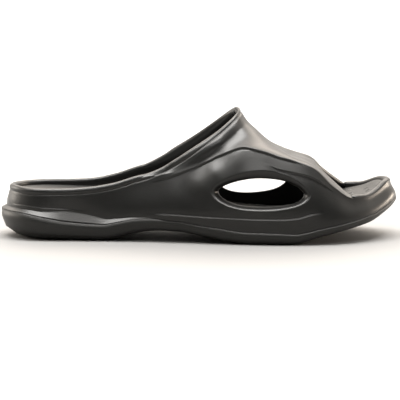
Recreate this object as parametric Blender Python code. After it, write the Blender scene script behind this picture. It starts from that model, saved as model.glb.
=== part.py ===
"""Moulded pool slide, right foot, standing empty on its sole.

Frame: +X from heel to toe, +Z up, the outer (lateral) side of the foot at -Y.
The origin is under the middle of the shoe, on the floor.

The shoe is three pieces: the tread sole, the moulded body (midsole, side walls and
foot strap in one hollow moulding) and the footbed that lies in the body's recess.
All three are skinned from the same ribs. A rib starts at the sole's outline and goes
up the wall. Between the collar and the open toe it goes on over the foot as the strap.
"""
import bmesh
import bpy
import numpy as np

# Driving sizes in metres
LENGTH = 0.290
BALL_WIDTH = 0.108
HEEL_WIDTH = 0.074
RIM_HEIGHT = 0.0375
INSTEP_HEIGHT = 0.0940
ARCH_GAP = 0.0075
TOE_SPRING = 0.0220
WALL = 0.0050
FOOTBED_THICKNESS = 0.0040
FIT_GAP = 0.0003
LEDGE_STEP = 0.0037
HOLE_HEIGHT = 0.0285
UPPER_LIP = 0.0062
LOWER_LIP = 0.0026
END_LIP = 0.0035
OUTER_DROP = 0.0032
TREAD_DEPTH = 0.0018
TREAD_WIDTH = 0.0040
TREAD_MARGIN = 0.0050
TREAD_SLOPE = 0.0006
CREASE_STEP = 0.0013

# Places along the shoe, as shares of LENGTH
HEEL_CAP = 0.13
TOE_CAP = 0.20
COLLAR_RIB = 0.36
FRONT_RIB = 0.89
HOLE_BACK = 0.529
HOLE_FRONT = 0.777
INNER_HOLE_FRONT = 0.735
TREAD_PITCH = 0.031
TREAD_FIELDS = ((0.085, 6), (0.565, 8))

# Plan outline, half widths
PLAN_COLUMNS = ("along", "of_heel", "of_ball_outer", "of_ball_inner", "centre_of_ball")
PLAN = (
    (0.00, 0.50, 0.000, 0.000, 0.000),
    (0.12, 0.50, 0.000, 0.000, 0.000),
    (0.25, 0.40, 0.070, 0.055, 0.000),
    (0.38, 0.25, 0.190, 0.125, 0.000),
    (0.50, 0.10, 0.350, 0.260, 0.000),
    (0.62, 0.00, 0.485, 0.420, 0.000),
    (0.72, 0.00, 0.500, 0.490, 0.000),
    (0.82, 0.00, 0.475, 0.505, 0.010),
    (0.92, 0.00, 0.430, 0.475, 0.030),
    (1.00, 0.00, 0.370, 0.440, 0.050),
)

# Tread sole: underside, height of its side above it, and the round of its lower edge
SOLE_COLUMNS = ("along", "of_arch", "of_spring", "side_of_rim", "round_in_of_rim")
SOLE = (
    (0.000, 0.00, 0.00, 0.540, 0.520),
    (0.060, 0.00, 0.00, 0.520, 0.380),
    (0.120, 0.00, 0.00, 0.440, 0.270),
    (0.180, 0.00, 0.00, 0.360, 0.210),
    (0.265, 0.00, 0.00, 0.310, 0.160),
    (0.305, 0.30, 0.00, 0.300, 0.140),
    (0.345, 0.72, 0.00, 0.275, 0.130),
    (0.405, 1.00, 0.00, 0.225, 0.120),
    (0.450, 0.97, 0.00, 0.200, 0.110),
    (0.510, 0.62, 0.00, 0.205, 0.110),
    (0.560, 0.28, 0.00, 0.225, 0.110),
    (0.630, 0.00, 0.00, 0.225, 0.110),
    (0.730, 0.00, 0.00, 0.200, 0.120),
    (0.800, 0.00, 0.22, 0.160, 0.140),
    (0.870, 0.00, 0.42, 0.145, 0.180),
    (0.930, 0.00, 0.60, 0.160, 0.230),
    (0.970, 0.00, 0.84, 0.155, 0.270),
    (1.000, 0.00, 1.03, 0.150, 0.300),
)

# Body wall: shelf above the tread sole, then the lines that run along the wall.
# The heights are shares of RIM_HEIGHT.
WALL_COLUMNS = (
    "along", "shelf_rise", "shelf_in", "crease", "middle", "brow", "crest", "top", "top_in", "lean",
)
WALL_LINES = (
    (0.000, 0.050, 1.00, 0.660, 0.740, 0.800, 0.950, 0.950, 1.20, 0.08),
    (0.060, 0.055, 1.00, 0.650, 0.740, 0.800, 0.950, 0.950, 1.20, 0.08),
    (0.120, 0.100, 1.20, 0.610, 0.740, 0.800, 0.950, 0.950, 1.20, 0.08),
    (0.180, 0.185, 1.50, 0.585, 0.740, 0.810, 0.958, 0.958, 1.20, 0.10),
    (0.225, 0.165, 1.30, 0.550, 0.750, 0.830, 0.983, 0.983, 1.20, 0.12),
    (0.290, 0.080, 0.80, 0.530, 0.790, 0.930, 1.090, 1.090, 1.25, 0.16),
    (0.360, 0.025, 0.20, 0.530, 0.880, 1.080, 1.080, 1.275, 1.50, 0.24),
    (0.420, 0.020, 0.12, 0.520, 0.920, 1.080, 1.190, 1.360, 1.75, 0.34),
    (0.460, 0.020, 0.10, 0.510, 0.940, 1.110, 1.310, 1.410, 2.20, 0.44),
    (0.500, 0.020, 0.10, 0.495, 0.955, 1.200, 1.460, 1.500, 2.80, 0.56),
    (0.540, 0.020, 0.10, 0.485, 0.965, 1.330, 1.620, 1.630, 3.10, 0.62),
    (0.600, 0.020, 0.10, 0.480, 0.985, 1.500, 1.770, 1.770, 3.30, 0.64),
    (0.650, 0.020, 0.10, 0.470, 1.000, 1.500, 1.710, 1.710, 3.10, 0.62),
    (0.700, 0.020, 0.10, 0.470, 0.990, 1.380, 1.590, 1.590, 2.90, 0.60),
    (0.740, 0.020, 0.10, 0.490, 0.960, 1.320, 1.520, 1.520, 2.70, 0.56),
    (0.777, 0.020, 0.10, 0.560, 0.920, 1.250, 1.450, 1.450, 2.40, 0.50),
    (0.840, 0.020, 0.10, 0.600, 0.830, 0.950, 1.080, 1.080, 1.60, 0.34),
    (0.890, 0.020, 0.10, 0.600, 0.690, 0.730, 0.880, 0.880, 1.05, 0.15),
    (0.930, 0.020, 0.10, 0.640, 0.710, 0.750, 0.895, 0.895, 0.90, 0.10),
    (1.000, 0.020, 0.10, 0.680, 0.740, 0.800, 1.065, 1.065, 0.90, 0.06),
)

# Outer edge of the collar, toe and footbed: how far it lies below the inner one
OUTER_TOP_COLUMNS = ("along", "of_drop")
OUTER_TOP = (
    (0.00, 0.00),
    (0.01, 0.00),
    (0.08, 0.38),
    (0.22, 0.42),
    (0.30, 0.75),
    (0.36, 0.92),
    (0.46, 1.00),
    (0.56, 0.60),
    (0.66, 0.00),
    (0.78, 0.00),
    (0.85, 0.28),
    (0.89, 0.54),
    (0.93, 0.76),
    (0.96, 0.62),
    (0.995, 0.00),
    (1.00, 0.00),
)

# Strap: where each rib crosses the centre line, and how it sets off from the wall top.
# set_off is a share of the way from wall top to centre line. sag_out is how much lower
# the outer side hangs, as a share of OUTER_DROP.
STRAP_COLUMNS = ("along", "centre_along", "rise", "set_off_x", "set_off_up", "set_off_in", "flat", "sag_out")
STRAP = (
    (0.36, 0.603, 0.972, 0.40, 0.21, 0.14, 1.00, 1.20),
    (0.42, 0.608, 0.928, 0.44, 0.30, 0.13, 1.00, 1.10),
    (0.50, 0.622, 0.820, 0.36, 0.52, 0.14, 0.92, 0.80),
    (0.56, 0.645, 0.708, 0.25, 0.72, 0.14, 0.80, 0.50),
    (0.61, 0.666, 0.602, 0.15, 0.88, 0.14, 0.70, 0.25),
    (0.69, 0.698, 0.480, 0.05, 1.00, 0.14, 0.60, 0.00),
    (0.77, 0.732, 0.376, 0.02, 0.80, 0.15, 0.54, 0.00),
    (0.83, 0.760, 0.352, 0.10, 0.42, 0.16, 0.48, 0.00),
    (0.89, 0.784, 0.318, 0.26, 0.16, 0.20, 0.40, 0.00),
)

# Footbed: heights of its top along its own length, as shares of RIM_HEIGHT
FOOTBED_COLUMNS = ("along", "centre", "edge")
FOOTBED = (
    (0.00, 0.915, 0.915),
    (0.05, 0.820, 0.910),
    (0.12, 0.745, 0.895),
    (0.22, 0.700, 0.880),
    (0.32, 0.715, 0.890),
    (0.42, 0.730, 0.890),
    (0.52, 0.590, 0.690),
    (0.62, 0.450, 0.520),
    (0.72, 0.400, 0.450),
    (0.80, 0.450, 0.520),
    (0.88, 0.680, 0.760),
    (0.95, 0.860, 0.900),
    (1.00, 1.060, 1.060),
)

# Recess: how far the foot of the inner wall stands in from the outline, in walls
RECESS_COLUMNS = ("along", "in_of_wall")
RECESS = (
    (0.00, 2.40),
    (0.25, 2.30),
    (0.36, 2.15),
    (0.50, 1.85),
    (0.70, 1.80),
    (0.80, 1.90),
    (0.89, 2.15),
    (1.00, 2.05),
)

# Side holes: where each begins and ends, and its height as a share of HOLE_HEIGHT
HOLES = {"outer": (HOLE_BACK, HOLE_FRONT, 1.00), "inner": (HOLE_BACK, INNER_HOLE_FRONT, 0.88)}

# Creases of the moulding, each along one line of the wall. Depth is a share of CREASE_STEP.
# proud is -1 where the part below the line stands out, and 1 where the part above does.
CREASE_COLUMNS = ("along", "depth", "proud")
CREASES = {
    "crease": (
        (0.02, 0.0, -1),
        (0.06, 0.5, -1),
        (0.16, 0.5, -1),
        (0.24, 0.0, -1),
        (0.38, 0.0, -1),
        (0.43, 1.0, -1),
        (0.70, 1.0, -1),
        (0.77, 0.9, -1),
        (0.81, 0.0, -1),
    ),
    "crest": (
        (0.38, 0.0, 1),
        (0.44, 0.7, 1),
        (0.53, 0.9, 1),
        (0.60, 1.1, 1),
        (0.72, 1.1, 1),
        (0.78, 0.0, 1),
    ),
    "brow": ((0.66, 0.0, 1), (0.71, 0.8, 1), (0.76, 1.0, 1), (0.80, 0.8, 1), (0.84, 0.0, 1)),
}
CREASE_EDGE = 0.0006
CREASE_FADE = 0.0060
HOLE_ROUND = 0.62
END_FADE = 0.025
QUARTER_ROUND = 0.5523
SHELF_EDGE = 0.15
CORNER_REACH = 0.030
TURN_STEP = 1e-4

# Curves of the wall and of the sole's edge, as shares of their rise
FOOT_HANDLE = 0.40
TOP_HANDLE = 0.38
SOLE_ROUND = 0.72
FOOTBED_CUP = 2.5

# Ribs: stretch from, stretch to, how many, and the end that they crowd towards
RIB_STRETCHES = (
    (0.0, HEEL_CAP, 7, "start"),
    (HEEL_CAP, COLLAR_RIB, 7, "even"),
    (COLLAR_RIB, HOLE_BACK, 6, "even"),
    (HOLE_BACK, 0.57, 4, "start"),
    (0.57, INNER_HOLE_FRONT, 7, "even"),
    (INNER_HOLE_FRONT, HOLE_FRONT, 4, "end"),
    (HOLE_FRONT, FRONT_RIB, 5, "even"),
    (FRONT_RIB, 1.0, 7, "end"),
)
ROWS = {
    "foot": 2, "below_hole": 2, "above_hole": 2, "brow": 1, "roof": 7,
    "inner_low": 2, "inner_high": 2, "lip": 2, "rim": 4,
}
SIDES = {"outer": -1.0, "inner": 1.0}
ACROSS = (0.0, 0.3, 0.65, 1.0)
UP = np.array((0.0, 0.0, 1.0))


def through(table, columns, name, along):
    """Smooth curve through one column of a table, without overshoot."""
    rows = np.array(table)
    x = rows[:, 0]
    y = rows[:, columns.index(name)]
    step = np.diff(x)
    slope = np.diff(y) / step
    tangent = np.zeros(len(x))
    for i in range(1, len(x) - 1):
        if slope[i - 1] * slope[i] > 0.0:
            before = 2.0 * step[i] + step[i - 1]
            after = step[i] + 2.0 * step[i - 1]
            tangent[i] = (before + after) / (before / slope[i - 1] + after / slope[i])
    along = np.clip(np.asarray(along, dtype=float), x[0], x[-1])
    k = np.clip(np.searchsorted(x, along, side="right") - 1, 0, len(step) - 1)
    u = (along - x[k]) / step[k]
    value = (2 * u**3 - 3 * u**2 + 1) * y[k] + (3 * u**2 - 2 * u**3) * y[k + 1]
    value += (u**3 - 2 * u**2 + u) * step[k] * tangent[k] + (u**3 - u**2) * step[k] * tangent[k + 1]
    return value


def unit(vectors):
    return vectors / np.maximum(np.linalg.norm(vectors, axis=-1, keepdims=True), 1e-12)


def bezier(p0, p1, p2, p3, t):
    """Points of cubic curves at t, one curve per rib."""
    t = np.asarray(t, dtype=float)[..., None]
    return (1 - t)**3 * p0 + 3 * (1 - t)**2 * t * p1 + 3 * (1 - t) * t**2 * p2 + t**3 * p3


def reach_height(p0, p1, p2, p3, height):
    """Share of each curve at which it reaches a height."""
    low = np.zeros(len(p0))
    high = np.ones(len(p0))
    for _ in range(40):
        mid = 0.5 * (low + high)
        below = bezier(p0, p1, p2, p3, mid)[:, 2] < height
        low = np.where(below, mid, low)
        high = np.where(below, high, mid)
    return 0.5 * (low + high)


def rib_places():
    """Shares of the length at which the ribs stand."""
    places = [0.0]
    for start, end, count, crowd in RIB_STRETCHES:
        t = np.arange(1, count + 1) / count
        if crowd == "start":
            t = 1.0 - np.cos(0.5 * np.pi * t)
        if crowd == "end":
            t = np.sin(0.5 * np.pi * t)
        places.extend(start + (end - start) * t)
    return np.array(places)


def centre_line(along):
    return BALL_WIDTH * through(PLAN, PLAN_COLUMNS, "centre_of_ball", along)


def half_width(along, side):
    heel = HEEL_WIDTH * through(PLAN, PLAN_COLUMNS, "of_heel", along)
    ball = BALL_WIDTH * through(PLAN, PLAN_COLUMNS, "of_ball_" + side, along)
    heel_cap = np.clip((HEEL_CAP - along) / HEEL_CAP, 0.0, 1.0)
    toe_cap = np.clip((along - 1.0 + TOE_CAP) / TOE_CAP, 0.0, 1.0)
    return (heel + ball) * np.sqrt(np.maximum(1.0 - heel_cap**2, 0.0) * np.maximum(1.0 - toe_cap**2, 0.0))


def outline(along, side, inset=0.0):
    """Plan points of the sole's outline, moved inwards by an inset."""
    turn = np.clip(np.arccos(1.0 - 2.0 * along), TURN_STEP, np.pi - TURN_STEP)
    corners = []
    for angle in (turn - TURN_STEP, turn + TURN_STEP):
        share = 0.5 * (1.0 - np.cos(angle))
        width = half_width(share, side)
        corners.append(np.stack((LENGTH * share, centre_line(share) + SIDES[side] * width), axis=-1))
    tangent = unit(corners[1] - corners[0])
    outward = np.stack((-tangent[:, 1], tangent[:, 0]), axis=-1) * SIDES[side]
    outward[along <= 0.0] = (-1.0, 0.0)
    outward[along >= 1.0] = (1.0, 0.0)
    at_rib = np.stack((LENGTH * along, centre_line(along) + SIDES[side] * half_width(along, side)), axis=-1)
    return at_rib - outward * np.reshape(inset, (-1, 1)), outward


def lift(plan, height):
    return np.column_stack((plan, np.broadcast_to(height, len(plan))))


def underside(along):
    arch = ARCH_GAP * through(SOLE, SOLE_COLUMNS, "of_arch", along)
    return arch + TOE_SPRING * through(SOLE, SOLE_COLUMNS, "of_spring", along)


def joint_height(along):
    """Top edge of the tread sole."""
    return underside(along) + RIM_HEIGHT * through(SOLE, SOLE_COLUMNS, "side_of_rim", along)


def hole_half(along, side):
    """Half height of the side hole at each rib, nothing outside the hole."""
    back, front, share = HOLES[side]
    middle = 0.5 * (back + front)
    reach = 0.5 * (front - back)
    u = np.clip(np.abs(along - middle) / reach, 0.0, 1.0)
    half = 0.5 * HOLE_HEIGHT * share * (1.0 - u**2)**HOLE_ROUND
    return np.where(u >= 1.0 - 1e-9, 0.0, half)


def end_shift(along, side):
    """How far the hole's inner edge moves along the shoe, towards the hole's middle."""
    back, front, _ = HOLES[side]
    middle = 0.5 * (back + front)
    reach = 0.5 * (front - back)
    u = np.abs(along - middle) / reach
    beyond = (u - 1.0) * reach / END_FADE
    amount = np.where(u < 1.0, u**3, np.clip(1.0 - beyond, 0.0, 1.0))
    return END_LIP * amount * np.sign(middle - along)


def outer_drop(along, side):
    """How far the outer side of the collar and of the toe lies below the inner side."""
    if side == "inner":
        return np.zeros(np.shape(along))
    return OUTER_DROP * through(OUTER_TOP, OUTER_TOP_COLUMNS, "of_drop", along)


def footbed_height(x, across, ends, side):
    """Top of the footbed. across is 0 on the centre line and 1 at the edge."""
    along = (x - ends[0]) / (ends[1] - ends[0])
    centre = RIM_HEIGHT * through(FOOTBED, FOOTBED_COLUMNS, "centre", along)
    edge = RIM_HEIGHT * through(FOOTBED, FOOTBED_COLUMNS, "edge", along) - outer_drop(along, side)
    return centre + (edge - centre) * across**FOOTBED_CUP


def wall_line(name, along):
    """Height of one of the named lines of the wall."""
    return RIM_HEIGHT * through(WALL_LINES, WALL_COLUMNS, name, along)


def wall_curve(along, side):
    """Outer wall of the body, from the shelf over the tread sole to the wall's top."""
    def line(name):
        return through(WALL_LINES, WALL_COLUMNS, name, along)
    foot, outward = outline(along, side, LEDGE_STEP * line("shelf_in"))
    p0 = lift(foot, joint_height(along) + FIT_GAP + RIM_HEIGHT * line("shelf_rise"))
    head, _ = outline(along, side, WALL * line("top_in"))
    p3 = lift(head, wall_line("top", along) - outer_drop(along, side))
    rise = (p3 - p0)[:, 2:]
    inward = np.column_stack((-outward, np.zeros(len(along))))
    towards = unit(UP + inward * line("lean")[:, None])
    return p0, p0 + UP * FOOT_HANDLE * rise, p3 - towards * TOP_HANDLE * rise, p3, towards


def strap_curve(along, side, wall_top, towards):
    """Roof of the strap, from the wall's top to the centre line."""
    def line(name):
        return through(STRAP, STRAP_COLUMNS, name, along)
    cross = line("centre_along")
    top = RIM_HEIGHT + (INSTEP_HEIGHT - RIM_HEIGHT) * line("rise")
    p3 = np.column_stack((LENGTH * cross, centre_line(cross), top))
    way = p3 - wall_top
    set_off = np.column_stack((line("set_off_x"), line("set_off_in"), line("set_off_up"))) * way
    across = np.column_stack((np.zeros(len(along)), way[:, 1] * line("flat"), np.zeros(len(along))))
    if side == "outer":
        sag = UP * OUTER_DROP * line("sag_out")[:, None]
        set_off = set_off - sag
        across = across + sag
    return wall_top, wall_top + set_off, p3 - across, p3


def normals(grid, sign):
    """Outward directions of a grid of rows, square to the centre line at heel and toe."""
    up_way = np.gradient(grid, axis=0)
    along_way = np.gradient(grid, axis=1)
    way = np.cross(up_way, along_way) * sign
    return unit(way)


def crease_relief(along, height):
    """How far the wall stands out at a place for the creases of the moulding."""
    amount = np.zeros(np.broadcast(along, height).shape)
    for name, table in CREASES.items():
        depth = CREASE_STEP * through(table, CREASE_COLUMNS, "depth", along)
        over = (height - wall_line(name, along)) * table[0][2]
        sharp = np.clip(over / CREASE_EDGE, -1.0, 1.0)
        amount = amount + 0.5 * depth * sharp * np.exp(-np.abs(over) / CREASE_FADE)
    return amount


def raise_creases(rows, along, side):
    """Rows moved out along their own normals by the relief of the creases."""
    grid = np.stack(rows)
    out = normals(grid, SIDES[side])
    out[:, 0] = unit(out[:, 0] * (1.0, 0.0, 1.0))
    out[:, -1] = unit(out[:, -1] * (1.0, 0.0, 1.0))
    amount = crease_relief(along[None, :], grid[:, :, 2])
    return list(grid + out * amount[:, :, None])


class Skin:
    """Points and faces of one closed piece, gathered sheet by sheet."""

    def __init__(self, name):
        self.name = name
        self.points = []
        self.faces = []

    def sheet(self, rows):
        count = len(rows[0])
        start = len(self.points)
        for row in rows:
            self.points.extend(tuple(point) for point in row)
        for r in range(len(rows) - 1):
            for i in range(count - 1):
                a = start + r * count + i
                self.faces.append((a, a + 1, a + 1 + count, a + count))

    def finish(self, colour, roughness):
        shift = np.array((0.5 * LENGTH, 0.0, 0.0))
        mesh = bpy.data.meshes.new(self.name)
        mesh.from_pydata([tuple(np.array(p) - shift) for p in self.points], [], self.faces)
        shape = bmesh.new()
        shape.from_mesh(mesh)
        bmesh.ops.remove_doubles(shape, verts=shape.verts, dist=2e-6)
        bmesh.ops.dissolve_degenerate(shape, edges=shape.edges, dist=2e-6)
        bmesh.ops.recalc_face_normals(shape, faces=shape.faces)
        if shape.calc_volume(signed=True) < 0.0:
            bmesh.ops.reverse_faces(shape, faces=shape.faces)
        shape.to_mesh(mesh)
        shape.free()
        mesh.shade_smooth()
        mesh.set_sharp_from_angle(angle=np.radians(40.0))
        piece = bpy.data.objects.new(self.name, mesh)
        bpy.context.collection.objects.link(piece)
        material = bpy.data.materials.new(self.name)
        material.use_nodes = True
        shader = material.node_tree.nodes["Principled BSDF"]
        shader.inputs["Base Color"].default_value = (*colour, 1.0)
        shader.inputs["Roughness"].default_value = roughness
        shader.inputs["Metallic"].default_value = 0.0
        mesh.materials.append(material)
        return piece


def between(first, last, count):
    """Shares from first to last, one array per row, both ends included."""
    return [first + (last - first) * k / count for k in range(count + 1)]


def to_spine(edge_row, shares, height=None):
    """Rows from an edge row to the centre line. height gives each row's own height."""
    places = rib_places()
    spine = edge_row.copy()
    spine[:, 0] = edge_row[0, 0] + (edge_row[-1, 0] - edge_row[0, 0]) * places
    spine[:, 1] = centre_line(spine[:, 0] / LENGTH)
    rows = []
    for share in shares:
        row = edge_row + (spine - edge_row) * share
        if height is not None:
            row[:, 2] = height(row[:, 0], 1.0 - share)
        rows.append(row)
    return rows


def recess_foot(along, side):
    inset = WALL * through(RECESS, RECESS_COLUMNS, "in_of_wall", along)
    return outline(along, side, inset)[0]


def recess_ends():
    ends = np.array((0.0, 1.0))
    foot = recess_foot(ends, "outer")
    return foot[:, 0]


def roof_directions(grid, sign):
    """Outward directions of the strap, upright across its centre line."""
    out = normals(grid, sign)
    up_way = np.gradient(grid, axis=0)[-1] * (0.0, 1.0, 0.0)
    out[-1] = unit(np.cross(up_way, np.gradient(grid, axis=1)[-1])) * sign
    out[-1, :, 1] = 0.0
    return unit(out)


def raise_roof(roof, along, side):
    grid = np.stack(roof)
    amount = crease_relief(along[None, :], grid[:, :, 2])
    amount[-1] = 0.0
    return list(grid + roof_directions(grid, SIDES[side]) * amount[:, :, None])


def rounded_lip(outer_edge, inner_edge, outward):
    """Quarter round from the outer face of the wall to the inner edge of its hole."""
    way = inner_edge - outer_edge
    depth = np.sum(way * outward, axis=1, keepdims=True) * outward
    p1 = outer_edge + QUARTER_ROUND * (way - depth)
    p2 = inner_edge - QUARTER_ROUND * depth
    every = np.ones(len(outer_edge))
    shares = between(0.0, 1.0, ROWS["lip"])
    return [bezier(outer_edge, p1, p2, inner_edge, share * every) for share in shares]


def body_side(skin, side):
    along = rib_places()
    sign = SIDES[side]
    first = int(np.argmin(np.abs(along - COLLAR_RIB)))
    last = int(np.argmin(np.abs(along - FRONT_RIB)))
    strap = slice(first, last + 1)
    ends = recess_ends()

    # Outer wall in two sheets that part at the side hole
    p0, p1, p2, p3, towards = wall_curve(along, side)
    middle = wall_line("middle", along)
    half = hole_half(along, side)
    joint_row = lift(outline(along, side)[0], joint_height(along) + FIT_GAP)
    heights = (
        wall_line("crease", along) - CREASE_EDGE,
        wall_line("crease", along) + CREASE_EDGE,
        middle - half,
        middle + half,
        wall_line("brow", along) - CREASE_EDGE,
        wall_line("brow", along) + CREASE_EDGE,
        p3[:, 2] - 2.0 * CREASE_EDGE,
    )
    below, above, low, high, brow_low, brow_high, near_top = (
        reach_height(p0, p1, p2, p3, height) for height in heights)
    shares = between(0 * low, below, ROWS["foot"]) + between(above, low, ROWS["below_hole"])
    split = len(shares)
    shares += between(high, brow_low, ROWS["above_hole"]) + between(brow_high, near_top, ROWS["brow"])
    shares += [0 * high + 1.0]
    wall_rows = raise_creases([bezier(p0, p1, p2, p3, t) for t in shares], along, side)
    low_rows = wall_rows[:split]
    high_rows = wall_rows[split:]
    solid = half <= 0.0
    high_rows[0][solid] = low_rows[-1][solid]
    slope = low_rows[0] - joint_row
    skin.sheet([joint_row, joint_row + SHELF_EDGE * slope, low_rows[0] - SHELF_EDGE * slope] + low_rows)
    skin.sheet(high_rows)

    # Outer roof of the strap
    q0, q1, q2, q3 = strap_curve(along[strap], side, p3[strap], towards[strap])
    roof = [bezier(q0, q1, q2, q3, np.full(len(q0), share)) for share in between(0.0, 1.0, ROWS["roof"])]
    raised = raise_roof(roof, along[strap], side)
    raised[0] = high_rows[-1][strap]
    skin.sheet(raised)

    # Wall directions for the thickness
    wall_end = unit(p3 - p2)
    rim_way = np.gradient(p3, axis=0)
    rim_way[0] = (0.0, sign, 0.0)
    rim_way[-1] = (0.0, -sign, 0.0)
    normal = unit(np.cross(wall_end, rim_way)) * sign
    grid = np.stack(roof)
    roof_normal = roof_directions(grid, sign)
    off_corner = np.linalg.norm(grid - grid[0, 0], axis=2, keepdims=True)
    share = np.clip(off_corner / CORNER_REACH, 0.0, 1.0)
    roof_normal = unit(normal[first] + (roof_normal - normal[first]) * share)
    joined = unit(normal[strap] + roof_normal[0])
    normal[strap] = joined
    roof_normal[0] = joined
    inner_roof = list(grid - WALL * roof_normal)
    skin.sheet(inner_roof)

    # Inner wall, from the inner top down to the foot of the recess
    r3 = p3 - WALL * normal
    foot = recess_foot(along, side)
    floor_z = footbed_height(foot[:, 0], np.ones(len(along)), ends, side) - FOOTBED_THICKNESS - FIT_GAP
    r0 = lift(foot, floor_z)
    drop = np.maximum((r3 - r0)[:, 2:], FIT_GAP)
    r1 = r0 + UP * FOOT_HANDLE * drop
    r2 = r3 - wall_end * TOP_HANDLE * drop
    lowest = floor_z + FOOTBED_THICKNESS + 2.0 * FIT_GAP
    highest = r0[:, 2] + 0.8 * drop[:, 0]
    open_share = 2.0 * half / HOLE_HEIGHT
    lip_low = np.clip(middle - half + LOWER_LIP * open_share, lowest, highest)
    lip_high = np.clip(middle + half - UPPER_LIP * open_share, lowest, highest)
    in_low = reach_height(r0, r1, r2, r3, lip_low)
    in_high = reach_height(r0, r1, r2, r3, lip_high)
    in_high = np.where(half > 0.0, np.maximum(in_high, in_low + 0.01), in_low)
    shift = np.column_stack((end_shift(along, side), np.zeros(len(along)), np.zeros(len(along))))
    inner_low = []
    for k, t in enumerate(between(0 * in_low, in_low, ROWS["inner_low"])):
        inner_low.append(bezier(r0, r1, r2, r3, t) + shift * k / ROWS["inner_low"])
    inner_high = []
    for k, t in enumerate(between(in_high, 0 * in_high + 1.0, ROWS["inner_high"])):
        inner_high.append(bezier(r0, r1, r2, r3, t) + shift * (1.0 - k / ROWS["inner_high"]))
    skin.sheet(inner_low)
    skin.sheet(inner_high)

    # Lips of the side hole
    back = int(np.argmin(np.abs(along - HOLES[side][0])))
    front = int(np.argmin(np.abs(along - HOLES[side][1])))
    hole = slice(back, front + 1)
    outward = np.column_stack((outline(along, side)[1], np.zeros(len(along))))[hole]
    skin.sheet(rounded_lip(low_rows[-1][hole], inner_low[-1][hole], outward))
    skin.sheet(rounded_lip(high_rows[0][hole], inner_high[0][hole], outward))

    # Round top of the collar, from heel to strap, and of the open toe
    top_row = high_rows[-1]
    back_out = np.concatenate((top_row[:first + 1], roof_column(raised, 0)))
    back_in = np.concatenate((r3[:first + 1], roof_column(inner_roof, 0)))
    toe_out = np.concatenate((top_row[last:][::-1], roof_column(raised, -1)))
    toe_in = np.concatenate((r3[last:][::-1], roof_column(inner_roof, -1)))
    for outer_edge, inner_edge in ((back_out, back_in), (toe_out, toe_in)):
        skin.sheet(rounded_rim(outer_edge, inner_edge))

    # Floor of the recess and underside
    def floor_height(x, across):
        return footbed_height(x, across, ends, side) - FOOTBED_THICKNESS - FIT_GAP
    skin.sheet(to_spine(r0, ACROSS, floor_height))
    skin.sheet(to_spine(joint_row, (0.0, 0.5, 1.0), lambda x, across: joint_height(x / LENGTH) + FIT_GAP))


def roof_column(rows, rib):
    return np.stack([row[rib] for row in rows[1:]])


def rounded_rim(outer_edge, inner_edge):
    """Half round strip that joins the outer and inner edges of an opening."""
    centre = 0.5 * (outer_edge + inner_edge)
    across = outer_edge - centre
    run = np.gradient(centre, axis=0)
    run[0] = (0.0, run[0, 1], 0.0)
    run[-1] = (0.0, run[-1, 1], 0.0)
    lift_way = unit(np.cross(across, run))
    if lift_way[0, 2] < 0.0:
        lift_way = -lift_way
    radius = np.linalg.norm(across, axis=1, keepdims=True)
    rows = []
    for angle in between(0.0, np.pi, ROWS["rim"]):
        rows.append(centre + across * np.cos(angle) + lift_way * radius * np.sin(angle))
    rows[0] = outer_edge
    rows[-1] = inner_edge
    return rows


def make_body():
    skin = Skin("moulded_body")
    for side in SIDES:
        body_side(skin, side)
    return skin.finish((0.020, 0.020, 0.019), 0.42)


def tread_grooves():
    """Middles of the cross grooves, as shares of the length."""
    middles = []
    for start, count in TREAD_FIELDS:
        middles.extend(start + TREAD_PITCH * k for k in range(count))
    return middles


def groove_depth(along):
    """Depth of the tread at a place along the sole."""
    depth = np.zeros(len(along))
    for middle in tread_grooves():
        off = LENGTH * np.abs(along - middle)
        depth = np.maximum(depth, np.clip((0.5 * TREAD_WIDTH + TREAD_SLOPE - off) / TREAD_SLOPE, 0.0, 1.0))
    return TREAD_DEPTH * depth


def tread_ribs(along):
    """The ribs with two more at each edge of each groove."""
    half = 0.5 * TREAD_WIDTH / LENGTH
    slope = TREAD_SLOPE / LENGTH
    extra = [middle + off for middle in tread_grooves() for off in (-half - slope, -half, half, half + slope)]
    kept = [place for place in along if min(abs(place - e) for e in extra) > 0.25 * slope]
    return np.array(sorted(kept + extra))


def sole_side(skin, side):
    along = rib_places()
    plan, _ = outline(along, side)
    top = joint_height(along)
    reach_in = RIM_HEIGHT * through(SOLE, SOLE_COLUMNS, "round_in_of_rim", along)
    rise = SOLE_ROUND * (top - underside(along))
    edge = []
    for k in range(4):
        angle = 0.5 * np.pi * k / 3
        inset = reach_in * (1.0 - np.sin(angle))
        row = outline(along, side, inset)[0]
        edge.append(lift(row, underside(row[:, 0] / LENGTH) + rise * (1.0 - np.cos(angle))))
    corner = lift(plan, top)
    bottom = to_spine(edge[0], (1.0, 0.5, 0.0), lambda x, across: underside(x / LENGTH))
    cover = to_spine(corner, (0.0, 1.0), lambda x, across: joint_height(x / LENGTH))
    ribs = tread_ribs(along)

    def at_ribs(row):
        return np.column_stack([np.interp(ribs, along, row[:, axis]) for axis in range(3)])
    bottom = [at_ribs(row) for row in bottom]
    way = bottom[0] - bottom[-1]
    span = np.linalg.norm(way, axis=1, keepdims=True)
    margin = bottom[-1] + unit(way) * np.minimum(TREAD_MARGIN, 0.3 * span)
    near_margin = bottom[-1] + unit(way) * np.minimum(TREAD_MARGIN + TREAD_SLOPE, 0.4 * span)
    depth = groove_depth(ribs)
    for row in (bottom[0], bottom[1], near_margin):
        row[:, 2] += depth
    skin.sheet([bottom[0], bottom[1], near_margin, margin, bottom[2]])
    skin.sheet([at_ribs(row) for row in edge + [corner]])
    skin.sheet([at_ribs(row) for row in cover])


def make_sole():
    skin = Skin("tread_sole")
    for side in SIDES:
        sole_side(skin, side)
    return skin.finish((0.022, 0.022, 0.021), 0.50)


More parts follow.
